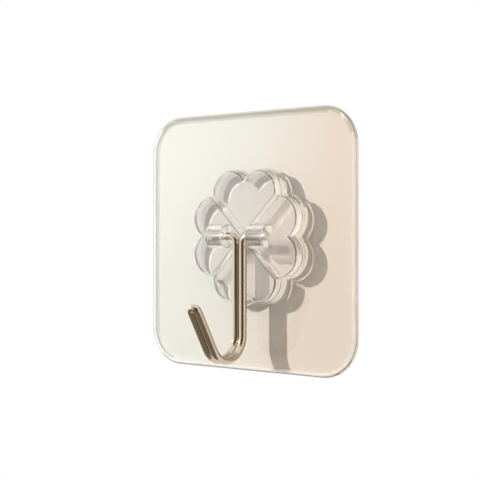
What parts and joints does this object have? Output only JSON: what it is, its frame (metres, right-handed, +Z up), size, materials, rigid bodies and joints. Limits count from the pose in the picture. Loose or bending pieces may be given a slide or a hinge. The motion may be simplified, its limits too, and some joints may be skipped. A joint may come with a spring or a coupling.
{
  "type": "adhesive wall hook",
  "caption": "Clear square adhesive wall hook: rounded sheet with a clover-shaped boss whose knuckles carry a swinging double-wire steel hook.",
  "frame": {"origin": "middle of the adhesive pad's back face, on the wall", "axes": "+Z up along the wall, +Y into the wall, +X to the right as seen from the front"},
  "size_m": [0.06, 0.0227, 0.06],
  "materials": {
    "gel_adhesive": "soft translucent gel",
    "clear_sheet": "clear, glossy",
    "clear_cement": "clear",
    "clear_boss": "clear, glossy, moulded",
    "steel_wire": "bright drawn stainless wire"
  },
  "bodies": {
    "wall_mount": {"adhesive_pad": "gel_adhesive", "base_sheet": "clear_sheet", "bond_film": "clear_cement", "clover_boss": "clear_boss"},
    "hook": {"wire_hook": "steel_wire"}
  },
  "joints": [
    {"name": "hook_swing", "type": "hinge", "parent": "wall_mount", "child": "hook", "pos_m": [0.0015, -0.006, 0.0011], "axis": [-1, 0, 0], "range_deg": [0, 142]}
  ]
}
